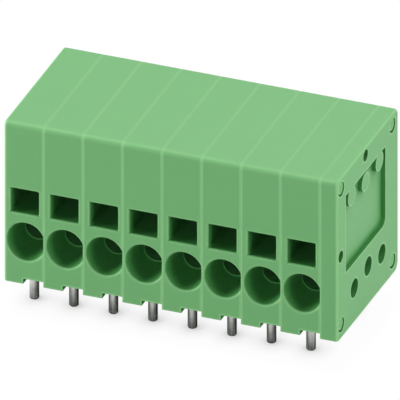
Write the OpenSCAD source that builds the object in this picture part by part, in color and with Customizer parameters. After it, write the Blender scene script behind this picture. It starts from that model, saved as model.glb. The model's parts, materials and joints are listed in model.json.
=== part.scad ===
// Spring-clamp terminal block for a printed circuit board, in millimetres.
// X runs along the row of poles, Y from the front (wire) face to the back, Z up.
// The origin is the centre of the pin pattern, on the board's top face.

/* [Block] */
// Number of poles
poles = 8; // [2:1:11]
// Distance from pole to pole
pitch = 5.0; // [4.9:0.1:7]
// Front face to back face
depth = 20.0; // [19:0.5:26]
// Board to top face
height = 21.5; // [20:0.5:28]
// Rounding of the top front edge
front_top_r = 0.7; // [0.5:0.1:1.5]
// Rounding of the top back edge
back_top_r = 0.8; // [0.5:0.1:1.5]
// Rounding of the bottom back edge, before the underside is cut flat
back_bottom_r = 1.6; // [1:0.1:2]
// Width of the eased edge beside a seam between two housings
seam_run = 0.2; // [0.2:0.05:0.45]
// Depth of a seam
seam_drop = 0.02; // [0.01:0.01:0.2]
// Fillet round the two end faces of the row
end_r = 0.4; // [0.2:0.05:0.45]

/* [Housing walls] */
// Closed left wall of each housing
left_wall = 0.85; // [0.6:0.05:1.2]
// Back wall behind the cored pocket
back_wall = 2.0; // [1:0.1:2.5]
// Top wall above the spring chamber
top_wall = 2.2; // [2:0.1:2.8]
// Front wall of the cored space above the release slot
upper_wall = 1.8; // [1.2:0.1:2.5]
// Plastic above the release slot
slot_roof = 1.1; // [0.8:0.1:1.5]
// Plastic between the cored pocket and the sockets above it
core_roof = 0.5; // [0.4:0.1:1]
// Rib that backs the fixed leg of the spring
rib_t = 1.0; // [0.6:0.1:1.2]
// Width of the foot under the left half
foot_w = 2.45; // [1.8:0.05:3]
// Height of the clearance beside the foot
foot_h = 0.72; // [0.3:0.02:0.9]

/* [Conductor entry] */
// Sideways offset of the entry from the middle of the pole
entry_shift = 0.25; // [0:0.05:0.3]
// Height of the entry's axis
entry_z = 5.68; // [5.5:0.02:5.9]
// Radius of the funnel behind its rounded mouth
funnel_r = 2.35; // [2.1:0.05:2.4]
// Height that makes the funnel oval: the shift of its upper and lower cone from the axis
funnel_oval = 0.15; // [0:0.01:0.25]
// Radius of the funnel at its end
funnel_end_r = 1.55; // [1.55:0.05:1.8]
// Rounding of the funnel's mouth
funnel_mouth_r = 0.25; // [0.1:0.05:0.3]
// Depth of the funnel
funnel_depth = 4.0; // [3:0.1:5]
// Radius of the wire guide behind the funnel
guide_r = 1.5; // [1.2:0.05:1.55]
// Length of the wire guide
guide_len = 1.6; // [1:0.1:2.5]

/* [Release slot] */
// Left edge of the slot, from the pole's left face
slot_x = 0.76; // [0.5:0.02:0.9]
// Width of the slot
slot_w = 3.79; // [2.5:0.01:3.8]
// Lower edge of the slot
slot_z = 9.35; // [9:0.05:10]
// Height of the slot
slot_h = 3.44; // [2:0.02:3.5]
// Corner radius of the slot
slot_r = 0.25; // [0.1:0.05:0.5]
// Chamfer at the slot's mouth
slot_chamfer = 0.12; // [0.05:0.01:0.18]

/* [Current bar and pins] */
// Front face to the front pin row
pin_front = 3.6; // [3.4:0.1:4]
// Front pin row to rear pin row
pin_rows = 10.0; // [9:0.5:10.5]
// Diameter of a solder pin
pin_d = 1.15; // [0.8:0.05:1.3]
// Length of a solder pin below the board's top face
pin_len = 3.7; // [2.5:0.1:5]
// Rounding of the pin's tip
pin_tip_r = 0.2; // [0.1:0.05:0.3]
// Diameter of a pin above the board, up to the bar
shank_d = 0.8; // [0.65:0.05:0.8]
// Diameter of the staked neck that holds a pin in the bar
neck_d = 0.6; // [0.4:0.05:0.6]
// Thickness of the bar
bar_t = 0.8; // [0.5:0.05:0.8]
// Underside of the bar at the front pin
bar_low_z = 2.3; // [1.9:0.05:2.3]
// Underside of the bar under the clamping point
bar_high_z = 3.3; // [3:0.05:3.3]
// Length of the slope between the two levels
bar_slope = 1.0; // [0.8:0.1:1.5]
// Bar left in front of the front pin and behind the rear pin, from the pin's axis
bar_end = 1.1; // [0.9:0.1:1.3]

/* [Clamp spring] */
// Thickness of the strip
spring_t = 0.4; // [0.3:0.05:0.5]
// Inner radius of the bend
bend_r = 1.3; // [1:0.1:1.6]
// Middle of the bend, behind the front of the spring chamber
bend_back = 3.0; // [2.5:0.1:3.5]
// Slant of the free leg
free_slant = 10; // [6:1:12]
// Slant of the fixed leg
fixed_slant = 22; // [18:1:24]
// Lower end of the fixed leg
fixed_end_z = 8.2; // [7.5:0.1:9]

/* [End cover] */
// Thickness of the cover
cover_t = 2.25; // [2.2:0.05:3]
// Front edge of the outer pocket
pocket_y = 2.75; // [2:0.05:3]
// Length of the pocket
pocket_w = 12.9; // [11:0.05:13]
// Lower edge of the pocket
pocket_z = 8.0; // [7:0.1:9]
// Height of the pocket
pocket_h = 10.3; // [10:0.1:10.8]
// Depth of the pocket
pocket_depth = 0.55; // [0.3:0.05:0.8]
// Radius of the pocket's lower back corner
pocket_r = 1.0; // [0.5:0.1:1.5]
// Radius of the three bosses at the top of the pocket
boss_r = 1.25; // [0.8:0.05:1.5]
// Boss to boss
boss_step = 4.55; // [4:0.05:4.6]
// Top of the pocket down to the two outer bosses
boss_drop = 1.0; // [0.5:0.1:1.5]
// Top of the pocket down to the middle boss
boss_mid_drop = 1.4; // [0.5:0.1:2]
// Depth of the round recesses
recess_depth = 1.5; // [0.5:0.1:1.8]
// Radius of the three lower recesses
low_recess_r = 1.2; // [0.6:0.05:1.3]
// Lower recess to lower recess
low_recess_step = 4.5; // [4:0.1:4.8]
// Height of the two outer lower recesses
low_recess_z = 4.5; // [4.2:0.1:5.4]
// Height of the middle lower recess
low_recess_mid_z = 5.15; // [4.2:0.05:5.6]
// Radius of the two small recesses
small_recess_r = 0.75; // [0.4:0.05:0.75]
// Front or top face to the small recess beside it
small_recess_edge = 1.05; // [1.05:0.05:1.4]
// Height of the small recess by the front face
front_recess_z = 11.0; // [9:0.1:13]

/* [Corner dowels] */
// Radius of a dowel
dowel_r = 0.78; // [0.5:0.02:0.8]
// Front face to the front dowels
dowel_front = 1.2; // [1.15:0.05:1.3]
// Back face to the back dowels
dowel_back = 2.0; // [1.5:0.1:2.2]
// Top face to the top dowels
dowel_top = 1.4; // [1.3:0.05:1.4]
// Board to the bottom dowels
dowel_bottom = 1.85; // [1.7:0.05:1.9]
// Length of a dowel beyond its housing
dowel_len = 2.15; // [1:0.05:2.15]
// Share of the cover's clearance by which its holes sit lower than the dowels
dowel_lean = 0.85; // [0:0.05:0.9]

/* [Clearances] */
// Between plastic and the metal that lies in it
metal_fit = 0.05; // [0.02:0.01:0.1]
// Between a dowel and the socket of the next housing
dowel_fit = 0.05; // [0.02:0.01:0.08]
// Between a dowel and its wider hole in the end cover
cover_fit = 0.14; // [0.12:0.01:0.2]
// Between a pin's outline and the slot in the floor above it
pin_fit = 0.06; // [0.03:0.01:0.1]
// Between a pin's neck and the bar
neck_fit = 0.02; // [0.01:0.01:0.04]
// Between the bar's sides and the walls of the chamber
bar_side = 0.2; // [0.1:0.05:0.3]
// Between the spring's sides and the walls of the chamber
spring_side = 0.3; // [0.2:0.05:0.5]
// Between the spring's free leg and the bar
tip_gap = 0.05; // [0.02:0.01:0.2]
// Between the bend of the spring and the roof above it
bend_gap = 0.6; // [0.3:0.1:0.8]
// Between the bend of the spring and the post inside it
post_fit = 0.1; // [0.05:0.05:0.3]

/* [Hidden] */
$fn = 64;
// Overrun of a cut past the face it opens, and of a joined shape into its neighbour
over = 0.5;
// What the flat underside cuts off a slab, with the rims there
base_cut = 0.5;

row_l = poles * pitch;
front_y = -(pin_front + pin_rows / 2);
pin_y = [pin_front, pin_front + pin_rows];
pin_x = pitch / 2;
entry_x = pitch / 2 + entry_shift;

// The spring chamber, open towards the next housing
chamber_y = funnel_depth + guide_len;
chamber_top = height - top_wall;
chamber_w = pitch - left_wall;
upper_floor = slot_z + slot_h + slot_roof;
back_y = depth - back_wall;

// The current bar's outline in side view, with the slope just inside the chamber
bar_y0 = pin_y[0] - bar_end;
bar_y1 = pin_y[1] + bar_end;
slope_angle = atan2(bar_high_z - bar_low_z, bar_slope);
slope_lead = bar_t * tan(slope_angle / 2);
slope_y0 = chamber_y + metal_fit + slope_lead;
slope_y1 = slope_y0 + bar_slope;
bar_top = bar_high_z + bar_t;
bar_w = chamber_w - 2 * bar_side;

// Rims of a slab's side faces as [width along the face, depth]
seam_rim = [seam_run, seam_drop];
end_rim = [end_r, end_r];

// The spring's bend and the ends of its two legs
spring_w = chamber_w - 2 * spring_side;
bend_mid = bend_r + spring_t / 2;
bend_y = chamber_y + bend_back;
bend_z = chamber_top - bend_gap - bend_r - spring_t;
free_top_z = bend_z - bend_mid * sin(free_slant);
free_end_z = bar_top + tip_gap + spring_t / 2 * sin(free_slant);
free_len = (free_top_z - free_end_z) / cos(free_slant);
fixed_len = (bend_z + bend_mid * sin(fixed_slant) - fixed_end_z) / cos(fixed_slant);

// The rib's front face runs along the fixed leg; its place at a given height
rib_foot_z = fixed_end_z - rib_t;
function rib_y(z) = bend_y + (bend_r + spring_t + metal_fit) / cos(fixed_slant)
    + (bend_z - z) * tan(fixed_slant);
rib_span = rib_t / cos(fixed_slant);

// Places on the end cover as [distance from the front, height]
dowel_y = [dowel_front, depth - dowel_back];
dowel_z = [dowel_bottom, height - dowel_top];
pocket_top = pocket_z + pocket_h;
pocket_mid = pocket_y + pocket_w / 2;
boss_at = [for (i = [-1:1])
    [pocket_mid + i * boss_step, pocket_top - (i == 0 ? boss_mid_drop : boss_drop)]];
low_recess_at = [for (i = [-1:1])
    [depth / 2 + i * low_recess_step, i == 0 ? low_recess_mid_z : low_recess_z]];
small_recess_at = [[small_recess_edge, front_recess_z], [pocket_mid, height - small_recess_edge]];

housing_color = "#79b579";
tin_color = "#b9bbb4";
steel_color = "#9da3a8";

housing_names = [for (k = [1:poles]) str("pole_housing_", k)];
bar_names = [for (k = [1:poles]) str("current_bar_", k)];
spring_names = [for (k = [1:poles]) str("clamp_spring_", k)];
front_pin_names = [for (k = [1:poles]) str("front_pin_", k)];
rear_pin_names = [for (k = [1:poles]) str("rear_pin_", k)];

// Puts a shape in its pole: x from the pole's left face, y from the front face
module in_pole(k) {
    translate([(k - 1) * pitch - row_l / 2, front_y, 0]) children();
}

// Turns a side view (x is depth, y is height) into a solid that starts at x = from and is w wide
module side_view(from, w) {
    translate([from, 0, 0]) rotate([90, 0, 90]) linear_extrude(w) children();
}

// Turns a front view (y is height) into a solid that goes back from y = from
module front_view(from, len) {
    translate([0, from + len, 0]) rotate([90, 0, 0]) linear_extrude(len) children();
}

// Lays a cylinder along the row at a place given as [depth, height]
module along_row(at, from, len, r) {
    translate([from, at[0], at[1]]) rotate([0, 90, 0]) cylinder(h = len, r = r);
}

module rounded_rect(w, h, r) {
    translate([r, 0]) square([w - 2 * r, h]);
    translate([0, r]) square([w, h - 2 * r]);
    for (x = [r, w - r], y = [r, h - r]) translate([x, y]) circle(r);
}

// A rectangle whose two corners at y = 0 are eased by arcs, each tangent to that edge
module eased_rect(w, h, left, right) {
    difference() {
        square([w, h]);
        ease_cut(-over, left[0], left);
        ease_cut(w - right[0], w - right[0], right);
    }
}

// What an arc of the given [width, depth] with its centre at x = at leaves of a corner
module ease_cut(from, at, rim) {
    r = (rim[0] * rim[0] + rim[1] * rim[1]) / (2 * rim[1]);
    difference() {
        translate([from, -over]) square([rim[0] + over, rim[1] + over]);
        translate([at, r]) circle(r);
    }
}

// One corner of a moulded slab: a disc with eased rims that touches two faces. Its profile is drawn
// past the axis and cut there, so that rounding leaves none of it on the far side.
module slab_corner(w, at, r, left, right) {
    translate([0, at[0], at[1]]) rotate([0, 90, 0]) rotate_extrude() intersection() {
        translate([r, 0]) rotate([0, 0, 90]) eased_rect(w, r + over, left, right);
        square([r, w]);
    }
}

// A moulded slab w wide: rounded corners seen from the side, eased rims, and a flat underside
module slab(w, left, right) {
    low = -base_cut;
    half_y = depth / 2 + over;
    half_z = (height - low) / 2 + over;
    difference() {
        union() {
            slab_corner(w, [front_top_r, low + front_top_r], front_top_r, left, right);
            slab_corner(w, [front_top_r, height - front_top_r], front_top_r, left, right);
            slab_corner(w, [depth - back_bottom_r, low + back_bottom_r], back_bottom_r, left, right);
            slab_corner(w, [depth - back_top_r, height - back_top_r], back_top_r, left, right);
            translate([0, 0, low + front_top_r])
                linear_extrude(height - low - 2 * front_top_r) eased_rect(w, half_y, left, right);
            translate([w, depth, low + back_bottom_r])
                linear_extrude(height - low - back_bottom_r - back_top_r)
                rotate([0, 0, 180]) eased_rect(w, half_y, right, left);
            translate([0, 0, low]) front_view(front_top_r, depth - front_top_r - back_bottom_r)
                eased_rect(w, half_z, left, right);
            translate([w, 0, height]) front_view(front_top_r, depth - front_top_r - back_top_r)
                rotate([0, 0, 180]) eased_rect(w, half_z, right, left);
        }
        translate([-over, -over, low - over]) cube([w + 2 * over, depth + 2 * over, base_cut + over]);
    }
}

// One cone of the funnel with its rounded mouth, as a turned cut from the front face
module funnel_cone() {
    mouth = funnel_r + funnel_mouth_r;
    rotate([-90, 0, 0]) rotate_extrude() difference() {
        polygon([[0, -over], [mouth, -over], [mouth, funnel_mouth_r], [funnel_r, funnel_mouth_r],
            [funnel_end_r, funnel_depth], [0, funnel_depth]]);
        translate([mouth, funnel_mouth_r]) circle(funnel_mouth_r);
    }
}

// Oval funnel of two cones, and the wire guide behind it
module entry_cut() {
    for (s = [-1, 1]) translate([entry_x, 0, entry_z + s * funnel_oval]) funnel_cone();
    translate([entry_x, 0, entry_z]) rotate([-90, 0, 0]) cylinder(h = chamber_y + over, r = guide_r);
}

// A straight-sided trapezoid that widens a mouth of size s by the chamfer at the front face
module mouth_outline(s) {
    polygon([[-over, -over], [s + over, -over], [s - slot_chamfer, slot_chamfer],
        [slot_chamfer, slot_chamfer]]);
}

module slot_cut() {
    c = slot_chamfer;
    translate([slot_x + c, 0, slot_z + c])
        front_view(0, chamber_y + over) rounded_rect(slot_w - 2 * c, slot_h - 2 * c, slot_r);
    translate([slot_x, 0, slot_z]) intersection() {
        translate([0, 0, -over]) linear_extrude(slot_h + 2 * over) mouth_outline(slot_w);
        translate([slot_w + over, 0, 0]) rotate([0, -90, 0])
            linear_extrude(slot_w + 2 * over) mouth_outline(slot_h);
    }
}

// Side view of the space that holds the bar and the spring
module chamber_outline() {
    floor_low = bar_low_z - metal_fit;
    floor_high = bar_high_z - metal_fit;
    polygon([[chamber_y, floor_low], [slope_y0, floor_low], [slope_y1, floor_high],
        [bar_y1 + metal_fit, floor_high], [bar_y1 + metal_fit, rib_foot_z],
        [rib_y(rib_foot_z), rib_foot_z], [rib_y(chamber_top), chamber_top],
        [upper_wall, chamber_top], [upper_wall, upper_floor], [chamber_y, upper_floor]]);
}

// Side view of the cored pocket behind the rib
module core_outline() {
    core_top = dowel_z[1] - dowel_r - dowel_fit - core_roof;
    polygon([[bar_y1 + rib_t, bar_high_z], [back_y, bar_high_z], [back_y, core_top],
        [rib_y(core_top) + rib_span, core_top], [rib_y(rib_foot_z) + rib_span, rib_foot_z]]);
}

// Slot in the floor, as wide as a pin, that lets its shank slide in from the open side
module pin_slot(y) {
    r = pin_d / 2 + pin_fit;
    translate([pin_x, y, -over]) cylinder(h = bar_high_z + over, r = r);
    translate([pin_x, y - r, -over]) cube([pitch, 2 * r, bar_high_z + over]);
}

module housing_cuts() {
    open_w = chamber_w + over;
    translate([foot_w, -over, -over]) cube([pitch, depth + 2 * over, foot_h + over]);
    entry_cut();
    slot_cut();
    side_view(left_wall, open_w) chamber_outline();
    side_view(left_wall, open_w) core_outline();
    // The front end of the bar lies in a channel under the funnel
    side_view(left_wall, open_w) translate([bar_y0 - metal_fit, bar_low_z - metal_fit])
        square([chamber_y - bar_y0 + 2 * metal_fit, bar_t + 2 * metal_fit]);
    for (y = pin_y) pin_slot(y);
    for (y = dowel_y, z = dowel_z)
        along_row([y, z], -over, over + dowel_len + 2 * dowel_fit, dowel_r + dowel_fit);
}

module pole_housing(k) {
    color(housing_color) in_pole(k) {
        difference() {
            slab(pitch, k == 1 ? end_rim : seam_rim, seam_rim);
            housing_cuts();
        }
        // Post inside the spring's bend
        along_row([bend_y, bend_z], left_wall - over, chamber_w + over - post_fit, bend_r - post_fit);
        for (y = dowel_y, z = dowel_z) along_row([y, z], pitch - over, dowel_len + over, dowel_r);
    }
}

module end_cover() {
    color(housing_color) in_pole(poles + 1) difference() {
        slab(cover_t, seam_rim, end_rim);
        side_view(cover_t - pocket_depth, pocket_depth + over) difference() {
            translate([pocket_y, pocket_z]) pocket_outline();
            for (p = boss_at) translate(p) circle(boss_r);
        }
        for (p = low_recess_at) along_row(p, cover_t - recess_depth, recess_depth + over, low_recess_r);
        for (p = small_recess_at) along_row(p, cover_t - recess_depth, recess_depth + over, small_recess_r);
        // The dowels of the last housing lie near the top of wider holes
        for (y = dowel_y, z = dowel_z)
            along_row([y, z - cover_fit * dowel_lean], -over, cover_t + 2 * over, dowel_r + cover_fit);
    }
}

// A rectangle with one round corner, at the lower back
module pocket_outline() {
    square([pocket_w - pocket_r, pocket_h]);
    translate([0, pocket_r]) square([pocket_w, pocket_h - pocket_r]);
    translate([pocket_w - pocket_r, pocket_r]) circle(pocket_r);
}

// A bent strip: low at the front pin, high under the clamping point
module current_bar(k) {
    color(tin_color) in_pole(k) difference() {
        side_view(left_wall + bar_side, bar_w)
            polygon([[bar_y0, bar_low_z], [slope_y0, bar_low_z], [slope_y1, bar_high_z],
                [bar_y1, bar_high_z], [bar_y1, bar_top], [slope_y1 - slope_lead, bar_top],
                [slope_y0 - slope_lead, bar_low_z + bar_t], [bar_y0, bar_low_z + bar_t]]);
        for (y = pin_y) translate([pin_x, y, 0]) cylinder(h = bar_top + over, r = neck_d / 2 + neck_fit);
    }
}

// A folded strip: a bend at the top, a fixed leg along the rib and a free leg down to the bar
module clamp_spring(k) {
    color(steel_color) in_pole(k)
        translate([left_wall + spring_side, bend_y, bend_z]) rotate([90, 0, 90]) {
            rotate([0, 0, fixed_slant]) rotate_extrude(angle = 180 + free_slant - fixed_slant)
                translate([bend_r, 0]) square([spring_t, spring_w]);
            rotate([0, 0, fixed_slant]) translate([bend_r, -fixed_len, 0])
                cube([spring_t, fixed_len, spring_w]);
            rotate([0, 0, free_slant]) translate([-bend_r - spring_t, -free_len, 0])
                cube([spring_t, free_len, spring_w]);
        }
}

// A round pin with a rounded tip, which ends in a shoulder on the board. A thinner shank goes on up
// to a bar whose underside is at bar_z, and a neck is staked into the bar.
module solder_pin(k, y, bar_z) {
    r = pin_d / 2;
    color(tin_color) in_pole(k) translate([pin_x, y, -pin_len]) {
        rotate_extrude() {
            translate([0, pin_tip_r]) square([r, pin_len - pin_tip_r]);
            square([r - pin_tip_r, pin_tip_r]);
            intersection() {
                translate([r - pin_tip_r, pin_tip_r]) circle(pin_tip_r);
                square([r, pin_tip_r]);
            }
        }
        translate([0, 0, over]) {
            cylinder(h = pin_len + bar_z - over, r = shank_d / 2);
            cylinder(h = pin_len + bar_z + bar_t - over, r = neck_d / 2);
        }
    }
}

for (k = [1:poles]) {
    pole_housing(k);
    current_bar(k);
    clamp_spring(k);
    solder_pin(k, pin_y[0], bar_low_z);
    solder_pin(k, pin_y[1], bar_high_z);
}
end_cover();
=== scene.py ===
import json
import math

import bpy
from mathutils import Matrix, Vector


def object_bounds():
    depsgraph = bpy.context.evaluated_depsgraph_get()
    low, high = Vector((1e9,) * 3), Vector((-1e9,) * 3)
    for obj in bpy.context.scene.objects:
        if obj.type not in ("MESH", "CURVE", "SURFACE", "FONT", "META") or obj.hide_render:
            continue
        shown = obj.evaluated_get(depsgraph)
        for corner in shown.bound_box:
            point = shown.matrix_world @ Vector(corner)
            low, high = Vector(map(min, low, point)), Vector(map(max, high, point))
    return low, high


# Looks of a green spring-clamp terminal block that stands on its solder pins.
# Units are metres, in the frame of the solids: +X along the row, -Y out of the wire face, +Z up.

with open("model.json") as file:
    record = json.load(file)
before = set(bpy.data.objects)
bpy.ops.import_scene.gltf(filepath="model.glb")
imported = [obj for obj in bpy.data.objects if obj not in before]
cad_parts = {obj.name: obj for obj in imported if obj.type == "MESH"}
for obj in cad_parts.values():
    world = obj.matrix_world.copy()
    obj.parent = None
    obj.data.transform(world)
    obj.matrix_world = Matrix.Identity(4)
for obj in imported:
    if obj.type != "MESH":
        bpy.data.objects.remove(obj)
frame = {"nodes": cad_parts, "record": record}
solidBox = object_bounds()
mm = 0.001
occlusionSamples = 8        # rays in each test of how open a place is
print("frame:", len(frame["nodes"]), "nodes, box in mm", [[round(v / mm, 2) for v in c] for c in solidBox])


# Turns an sRGB hex colour into the linear values that shaders use
def linearColour(code):
    channels = [int(code[i:i + 2], 16) / 255 for i in (1, 3, 5)]
    return [c / 12.92 if c <= 0.04045 else ((c + 0.055) / 1.055) ** 2.4 for c in channels] + [1.0]


# Adds one node: settings are the node's own properties, sockets are values or the outputs to link
def addNode(tree, kind, sockets=None, **settings):
    node = tree.nodes.new(kind)
    for name, value in settings.items():
        setattr(node, name, value)
    for name, value in (sockets or {}).items():
        if isinstance(value, bpy.types.NodeSocket):
            tree.links.new(value, node.inputs[name])
        else:
            node.inputs[name].default_value = value
    return node


def newMaterial(name):
    material = bpy.data.materials.new(name)
    material.use_nodes = True
    material.node_tree.nodes.clear()
    return material, material.node_tree


# Noise scale for spots of a real size, because Object coordinates are in metres
def perSize(sizeMm):
    return 1 / (sizeMm * mm)


# Polyamide, injection moulded in a spark-eroded tool: satin, with a fine even grain, faint flow
# clouds in the pigment, and gloss that varies a little from place to place. Edges and roundings carry
# a painted highlight, a paler green that is weaker where they face up. The openings carry painted shade, a
# deeper green.
polyamide = {
    "deep": "#6aa86b",
    "pale": "#6dac6d",
    "cloudMm": 4.0,
    "cloudDetail": 3.0,
    # Painted highlight: the paler green of edges and roundings
    "edge": "#82bc7f",
    "edgeMm": 0.26,         # width of the pale line at a sharp edge, less than the thinnest wall
    "edgeOpen": 0.88,       # openness, 1 where nothing is near, at which an edge is all pale
    "endHighlight": 1.0,         # share of the painted highlight colour on the roundings at a housing's ends
    "leanLow": 0.03,        # leaning of the normal, 0.25 at most, where an end rounding turns pale
    "leanHigh": 0.2,
    "browHighlight": 0.58,
    "browLow": 0.04,        # the same for the brow, the rounding between wire face and top, 0.15 at most
    "browHigh": 0.14,
    "topHighlight": 0.4,         # share of the painted highlight on edges that face up, which show less of it
    "topFacing": 0.8,
    # Painted shade: the deeper green inside the openings
    "innerShade": "#458a48",
    "innerMm": 4.2,         # about the width of an opening
    "innerOpen": 0.79,      # openness at which the green is deepest, and at which it is as outside
    "outerOpen": 0.99,
    "grainMm": 0.22,        # real grain is about 0.05 mm, drawn coarser so that it shows
    "grainDetail": 2.0,
    "grainDepthMm": 0.012,
    "grainStrength": 0.12,
    "roughLow": 0.42,
    "roughHigh": 0.54,
    "ior": 1.53,
    "specular": 0.27,       # below the usual 0.5, because the grain hides part of the gloss
}


def mouldedPolyamide():
    p = polyamide
    material, tree = newMaterial("mouldedPolyamide")
    place = addNode(tree, "ShaderNodeTexCoord").outputs["Object"]
    cloud = addNode(tree, "ShaderNodeTexNoise", {
        "Vector": place, "Scale": perSize(p["cloudMm"]), "Detail": p["cloudDetail"]})
    grain = addNode(tree, "ShaderNodeTexNoise", {
        "Vector": place, "Scale": perSize(p["grainMm"]), "Detail": p["grainDetail"]})
    colour = addNode(tree, "ShaderNodeMix", {
        "Factor": cloud.outputs["Fac"], "A": linearColour(p["deep"]), "B": linearColour(p["pale"])},
        data_type="RGBA")

    # Occlusion measured inside the solid falls only near convex edges, and outside it only in openings:
    # the first places the painted highlight, the second the painted shade
    inside = addNode(tree, "ShaderNodeAmbientOcclusion", {"Distance": p["edgeMm"] * mm},
                     samples=occlusionSamples, inside=True, only_local=True)
    outside = addNode(tree, "ShaderNodeAmbientOcclusion", {"Distance": p["innerMm"] * mm},
                      samples=occlusionSamples)
    rim = addNode(tree, "ShaderNodeMapRange", {
        "Value": inside.outputs["AO"], "From Min": 1.0, "From Max": p["edgeOpen"]})
    exposed = addNode(tree, "ShaderNodeMapRange", {
        "Value": outside.outputs["AO"], "From Min": p["innerOpen"], "From Max": p["outerOpen"]})

    # A rounding at the end of a housing, which gets the painted highlight, is where the normal leans
    # between x and the other axes, measured as x squared times the rest of the squares
    normal = addNode(tree, "ShaderNodeNewGeometry").outputs["True Normal"]
    facing = addNode(tree, "ShaderNodeSeparateXYZ", {"Vector": normal}).outputs
    endways = addNode(tree, "ShaderNodeMath", {0: facing["X"], 1: facing["X"]}, operation="MULTIPLY")
    crossways = addNode(tree, "ShaderNodeMath", {0: 1.0, 1: endways.outputs[0]}, operation="SUBTRACT")
    lean = addNode(tree, "ShaderNodeMath", {0: endways.outputs[0], 1: crossways.outputs[0]},
                   operation="MULTIPLY")
    rounded = addNode(tree, "ShaderNodeMapRange", {
        "Value": lean.outputs[0], "From Min": p["leanLow"], "From Max": p["leanHigh"],
        "To Max": p["endHighlight"]})

    # The brow's painted highlight is palest nearer the top, so its measure is y times z squared, squared
    # again
    slope = addNode(tree, "ShaderNodeMath", {0: facing["Y"], 1: facing["Z"]}, operation="MULTIPLY")
    bend = addNode(tree, "ShaderNodeMath", {0: slope.outputs[0], 1: facing["Z"]}, operation="MULTIPLY")
    brow = addNode(tree, "ShaderNodeMath", {0: bend.outputs[0], 1: bend.outputs[0]}, operation="MULTIPLY")
    browed = addNode(tree, "ShaderNodeMapRange", {
        "Value": brow.outputs[0], "From Min": p["browLow"], "From Max": p["browHigh"],
        "To Max": p["browHighlight"]})

    turned = addNode(tree, "ShaderNodeMath", {0: rounded.outputs["Result"], 1: browed.outputs["Result"]},
                     operation="MAXIMUM")
    edge = addNode(tree, "ShaderNodeMath", {0: rim.outputs["Result"], 1: turned.outputs[0]},
                   operation="MAXIMUM")
    openHighlight = addNode(tree, "ShaderNodeMath", {0: edge.outputs[0], 1: exposed.outputs["Result"]},
                   operation="MULTIPLY")
    # Painted highlight, made weaker where the surface faces up
    highlightFacing = addNode(tree, "ShaderNodeMapRange", {
        "Value": facing["Z"], "From Min": p["topFacing"], "To Min": 1.0, "To Max": p["topHighlight"]})
    paintedHighlight = addNode(tree, "ShaderNodeMath", {0: openHighlight.outputs[0], 1: highlightFacing.outputs["Result"]},
                     operation="MULTIPLY")

    # Painted shade: the deeper green where the openness test finds an opening
    paintedShade = addNode(tree, "ShaderNodeMix", {
        "Factor": exposed.outputs["Result"], "A": linearColour(p["innerShade"]), "B": colour.outputs["Result"]},
        data_type="RGBA")
    # Painted highlight: the paler edge green laid over the base colour
    rimmed = addNode(tree, "ShaderNodeMix", {
        "Factor": paintedHighlight.outputs[0], "A": paintedShade.outputs["Result"], "B": linearColour(p["edge"])},
        data_type="RGBA")
    rough = addNode(tree, "ShaderNodeMapRange", {
        "Value": grain.outputs["Fac"], "To Min": p["roughLow"], "To Max": p["roughHigh"]})
    bump = addNode(tree, "ShaderNodeBump", {
        "Height": grain.outputs["Fac"], "Strength": p["grainStrength"], "Distance": p["grainDepthMm"] * mm})
    shader = addNode(tree, "ShaderNodeBsdfPrincipled", {
        "Base Color": rimmed.outputs["Result"], "Roughness": rough.outputs["Result"],
        "IOR": p["ior"], "Specular IOR Level": p["specular"], "Normal": bump.outputs["Normal"]})
    addNode(tree, "ShaderNodeOutputMaterial", {"Surface": shader.outputs["BSDF"]})
    return material


# Tin on copper alloy: a soft grey metal with fine turning lines round the pin, which stretch its
# highlights upright, and a slightly cloudy plating.
tin = {
    "bright": "#e8eae5",
    "dull": "#bcbfb9",
    "cloudMm": 0.9,
    "cloudDetail": 4.0,
    "lineMm": 0.12,         # turning lines are finer than this, drawn as wide as a pixel
    "lineStretch": 14,
    "lineDetail": 2.0,
    "roughLow": 0.16,
    "roughHigh": 0.28,
    "lineStrength": 0.10,
    "lineDepthMm": 0.01,
    "stretch": 0.8,
    "upright": 0.25,        # a quarter turn, from round the pin to along it
}


def tinPlate():
    p = tin
    material, tree = newMaterial("tinPlatedCopper")
    place = addNode(tree, "ShaderNodeTexCoord").outputs["Object"]
    around = addNode(tree, "ShaderNodeMapping", {
        "Vector": place, "Scale": (1 / p["lineStretch"], 1 / p["lineStretch"], 1)})
    cloud = addNode(tree, "ShaderNodeTexNoise", {
        "Vector": place, "Scale": perSize(p["cloudMm"]), "Detail": p["cloudDetail"]})
    lines = addNode(tree, "ShaderNodeTexNoise", {
        "Vector": around.outputs["Vector"], "Scale": perSize(p["lineMm"]), "Detail": p["lineDetail"]})
    colour = addNode(tree, "ShaderNodeMix", {
        "Factor": cloud.outputs["Fac"], "A": linearColour(p["dull"]), "B": linearColour(p["bright"])},
        data_type="RGBA")
    rough = addNode(tree, "ShaderNodeMapRange", {
        "Value": cloud.outputs["Fac"], "To Min": p["roughLow"], "To Max": p["roughHigh"]})
    bump = addNode(tree, "ShaderNodeBump", {
        "Height": lines.outputs["Fac"], "Strength": p["lineStrength"], "Distance": p["lineDepthMm"] * mm})
    tangent = addNode(tree, "ShaderNodeTangent", direction_type="RADIAL", axis="Z")
    shader = addNode(tree, "ShaderNodeBsdfPrincipled", {
        "Base Color": colour.outputs["Result"], "Roughness": rough.outputs["Result"], "Metallic": 1.0,
        "Anisotropic": p["stretch"], "Anisotropic Rotation": p["upright"],
        "Tangent": tangent.outputs["Tangent"], "Normal": bump.outputs["Normal"]})
    addNode(tree, "ShaderNodeOutputMaterial", {"Surface": shader.outputs["BSDF"]})
    return material


# Stainless spring strip, cold rolled: bright, with rolling lines along the strip's length.
springSteel = {
    "bright": "#b4b7b9",
    "dull": "#94989b",
    "lineMm": 0.15,
    "lineStretch": 10,
    "lineDetail": 3.0,
    "roughLow": 0.22,
    "roughHigh": 0.34,
}


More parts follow.
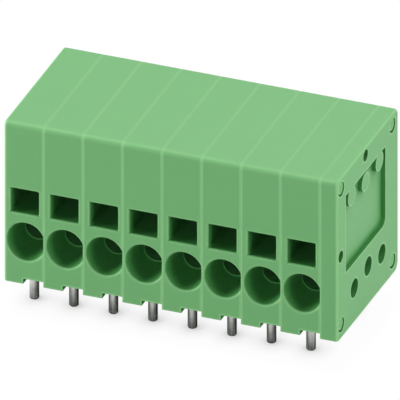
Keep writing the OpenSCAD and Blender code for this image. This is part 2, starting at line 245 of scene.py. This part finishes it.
def rolledStainless():
    p = springSteel
    material, tree = newMaterial("rolledStainless")
    place = addNode(tree, "ShaderNodeTexCoord").outputs["Object"]
    along = addNode(tree, "ShaderNodeMapping", {
        "Vector": place, "Scale": (1, 1 / p["lineStretch"], 1 / p["lineStretch"])})
    lines = addNode(tree, "ShaderNodeTexNoise", {
        "Vector": along.outputs["Vector"], "Scale": perSize(p["lineMm"]), "Detail": p["lineDetail"]})
    colour = addNode(tree, "ShaderNodeMix", {
        "Factor": lines.outputs["Fac"], "A": linearColour(p["dull"]), "B": linearColour(p["bright"])},
        data_type="RGBA")
    rough = addNode(tree, "ShaderNodeMapRange", {
        "Value": lines.outputs["Fac"], "To Min": p["roughLow"], "To Max": p["roughHigh"]})
    shader = addNode(tree, "ShaderNodeBsdfPrincipled", {
        "Base Color": colour.outputs["Result"], "Roughness": rough.outputs["Result"], "Metallic": 1.0})
    addNode(tree, "ShaderNodeOutputMaterial", {"Surface": shader.outputs["BSDF"]})
    return material


slotMaterials = {"housing": mouldedPolyamide(), "tin": tinPlate(), "spring": rolledStainless()}
slotOf = {part["node"]: part["material_slot"] for part in frame["record"]["subparts"]}
for name, piece in frame["nodes"].items():
    piece.data.materials.clear()
    piece.data.materials.append(slotMaterials[slotOf[name]])
print("finishes set on", len(frame["nodes"]), "pieces")


# Camera: a parallel view, from the right of the wire face and above it
view = {
    "azimuth": 21.1,
    "elevation": 28.75,
    "target": (0.976 * mm, 1.405 * mm, 9.839 * mm),
    "width": 47.22 * mm,
    "distance": 0.3,
    "clipNear": 0.01,
    "clipFar": 3.0,
}


def addCamera():
    turn = math.radians(view["azimuth"])
    lift = math.radians(view["elevation"])
    back = Vector((math.sin(turn) * math.cos(lift), -math.cos(turn) * math.cos(lift), math.sin(lift)))
    data = bpy.data.cameras.new("camera")
    data.type = "ORTHO"
    data.ortho_scale = view["width"]
    data.clip_start = view["clipNear"]
    data.clip_end = view["clipFar"]
    camera = bpy.data.objects.new("camera", data)
    bpy.context.collection.objects.link(camera)
    camera.location = Vector(view["target"]) + back * view["distance"]
    camera.rotation_euler = (-back).to_track_quat("-Z", "Y").to_euler()
    bpy.context.scene.camera = camera


addCamera()
print("camera set")


# Floor: white paper under the pins. The camera sees it pure white but for the contact shadow of the
# pins and a trace of the block's shadow. Metal sees it white too, with painted shade, a dark grey
# paper, under the block. The light that it throws back is that of grey paper.
floor = {
    "size": 1.2,
    "glow": "#ffffff",
    "seenColour": "#f6f6f6",
    "bounceColour": "#c4c4c4",
    "mirrorShadeColour": "#6e6e6e",   # painted shade: the dark grey that metal sees of the paper under the block
    "nearWhite": 0.965,
    "fadeMm": 2.5,          # distance from the block's outline at which the white is pure
    "contactMm": 3.0,
    "contactOpen": 0.7,     # openness, 1 where nothing is near, at which the contact shadow is full
    "contactWhite": 0.55,
    "shadeMm": 8.0,
    "shadeOpen": 0.45,      # openness at which metal sees the paper dark, and at which it sees it white
    "whiteOpen": 0.9,
}


def addFloor():
    half = floor["size"] / 2
    level = solidBox[0][2]
    mesh = bpy.data.meshes.new("floor")
    corners = [(-half, -half, level), (half, -half, level), (half, half, level), (-half, half, level)]
    mesh.from_pydata(corners, [], [(0, 1, 2, 3)])
    piece = bpy.data.objects.new("floor", mesh)
    bpy.context.collection.objects.link(piece)
    material, tree = newMaterial("whitePaper")

    # Distance from the block's outline on the floor: the length of |p - middle| - half size, where positive
    middle = (Vector(solidBox[0]) + Vector(solidBox[1])) / 2
    reach = (Vector(solidBox[1]) - Vector(solidBox[0])) / 2
    place = addNode(tree, "ShaderNodeTexCoord").outputs["Object"]
    shift = addNode(tree, "ShaderNodeVectorMath", {0: place, 1: (middle.x, middle.y, level)},
                    operation="SUBTRACT")
    folded = addNode(tree, "ShaderNodeVectorMath", {0: shift.outputs[0]}, operation="ABSOLUTE")
    past = addNode(tree, "ShaderNodeVectorMath", {0: folded.outputs[0], 1: (reach.x, reach.y, 0)},
                   operation="SUBTRACT")
    beyond = addNode(tree, "ShaderNodeVectorMath", {0: past.outputs[0], 1: (0, 0, 0)}, operation="MAXIMUM")
    away = addNode(tree, "ShaderNodeVectorMath", {0: beyond.outputs[0]}, operation="LENGTH")
    white = addNode(tree, "ShaderNodeMapRange", {
        "Value": away.outputs["Value"], "From Max": floor["fadeMm"] * mm, "To Min": floor["nearWhite"]},
        interpolation_type="SMOOTHSTEP")

    close = addNode(tree, "ShaderNodeAmbientOcclusion", {"Distance": floor["contactMm"] * mm},
                    samples=occlusionSamples)
    contact = addNode(tree, "ShaderNodeMapRange", {
        "Value": close.outputs["AO"], "From Min": floor["contactOpen"], "To Min": floor["contactWhite"]})
    under = addNode(tree, "ShaderNodeAmbientOcclusion", {"Distance": floor["shadeMm"] * mm},
                    samples=occlusionSamples)
    shade = addNode(tree, "ShaderNodeMapRange", {
        "Value": under.outputs["AO"], "From Min": floor["shadeOpen"], "From Max": floor["whiteOpen"]})

    # Share of white for each kind of ray
    rays = addNode(tree, "ShaderNodeLightPath").outputs
    mirror = addNode(tree, "ShaderNodeMath", {0: rays["Is Glossy Ray"], 1: rays["Is Transmission Ray"]},
                     operation="MAXIMUM")
    lit = addNode(tree, "ShaderNodeMath", {0: white.outputs["Result"], 1: contact.outputs["Result"]},
                  operation="MULTIPLY")
    seen = addNode(tree, "ShaderNodeMath", {0: rays["Is Camera Ray"], 1: lit.outputs[0]},
                   operation="MULTIPLY")
    shaded = addNode(tree, "ShaderNodeMath", {0: contact.outputs["Result"], 1: shade.outputs["Result"]},
                     operation="MULTIPLY")
    mirrored = addNode(tree, "ShaderNodeMath", {0: mirror.outputs[0], 1: shaded.outputs[0]},
                       operation="MULTIPLY")
    share = addNode(tree, "ShaderNodeMath", {0: seen.outputs[0], 1: mirrored.outputs[0]}, operation="ADD")

    unseen = addNode(tree, "ShaderNodeMix", {
        "Factor": mirror.outputs[0], "A": linearColour(floor["bounceColour"]),
        "B": linearColour(floor["mirrorShadeColour"])}, data_type="RGBA")
    tone = addNode(tree, "ShaderNodeMix", {
        "Factor": rays["Is Camera Ray"], "A": unseen.outputs["Result"],
        "B": linearColour(floor["seenColour"])}, data_type="RGBA")
    paper = addNode(tree, "ShaderNodeBsdfDiffuse", {"Color": tone.outputs["Result"]})
    glow = addNode(tree, "ShaderNodeEmission", {"Color": linearColour(floor["glow"]), "Strength": 1.0})
    mix = addNode(tree, "ShaderNodeMixShader", {
        "Fac": share.outputs[0], 1: paper.outputs["BSDF"], 2: glow.outputs["Emission"]})
    addNode(tree, "ShaderNodeOutputMaterial", {"Surface": mix.outputs["Shader"]})
    mesh.materials.append(material)


addFloor()


# Light: soft panels low on all four sides of the block, and high over both ends and behind.
# The room around them is white to the camera and in reflections, and gives no other light.
light = {
    "room": "#ffffff",
    "panelSize": 0.20,
    "panels": [
        {"name": "leftPanel", "at": (-0.419, -0.136, 0.104), "power": 1.92},
        {"name": "rightPanel", "at": (0.433, -0.076, 0.104), "power": 1.24},
        {"name": "leftTopPanel", "at": (-0.191, 0.051, 0.414), "power": 0.76},
        {"name": "rightTopPanel", "at": (0.191, 0.051, 0.414), "power": 0.58},
        {"name": "backTopPanel", "at": (-0.067, 0.249, 0.379), "power": 0.46},
        {"name": "frontPanel", "at": (0.0, -0.440, 0.104), "power": 0.54},
        {"name": "backPanel", "at": (0.0, 0.440, 0.104), "power": 0.30},
    ],
}


def addLights():
    world = bpy.data.worlds.new("room")
    world.use_nodes = True
    tree = world.node_tree
    tree.nodes.clear()
    rays = addNode(tree, "ShaderNodeLightPath").outputs
    mirrored = addNode(tree, "ShaderNodeMath", {0: rays["Is Glossy Ray"], 1: rays["Is Transmission Ray"]},
                       operation="MAXIMUM")
    seen = addNode(tree, "ShaderNodeMath", {0: rays["Is Camera Ray"], 1: mirrored.outputs[0]},
                   operation="MAXIMUM")
    glow = addNode(tree, "ShaderNodeBackground", {
        "Color": linearColour(light["room"]), "Strength": seen.outputs[0]})
    addNode(tree, "ShaderNodeOutputWorld", {"Surface": glow.outputs["Background"]})
    bpy.context.scene.world = world
    aim = Vector(view["target"])
    for panel in light["panels"]:
        data = bpy.data.lights.new(panel["name"], "AREA")
        data.shape = "SQUARE"
        data.size = light["panelSize"]
        data.energy = panel["power"]
        lamp = bpy.data.objects.new(panel["name"], data)
        bpy.context.collection.objects.link(lamp)
        lamp.location = panel["at"]
        lamp.rotation_euler = (aim - Vector(panel["at"])).to_track_quat("-Z", "Y").to_euler()


addLights()
bpy.context.scene.view_settings.view_transform = "Standard"
print("floor and light set")
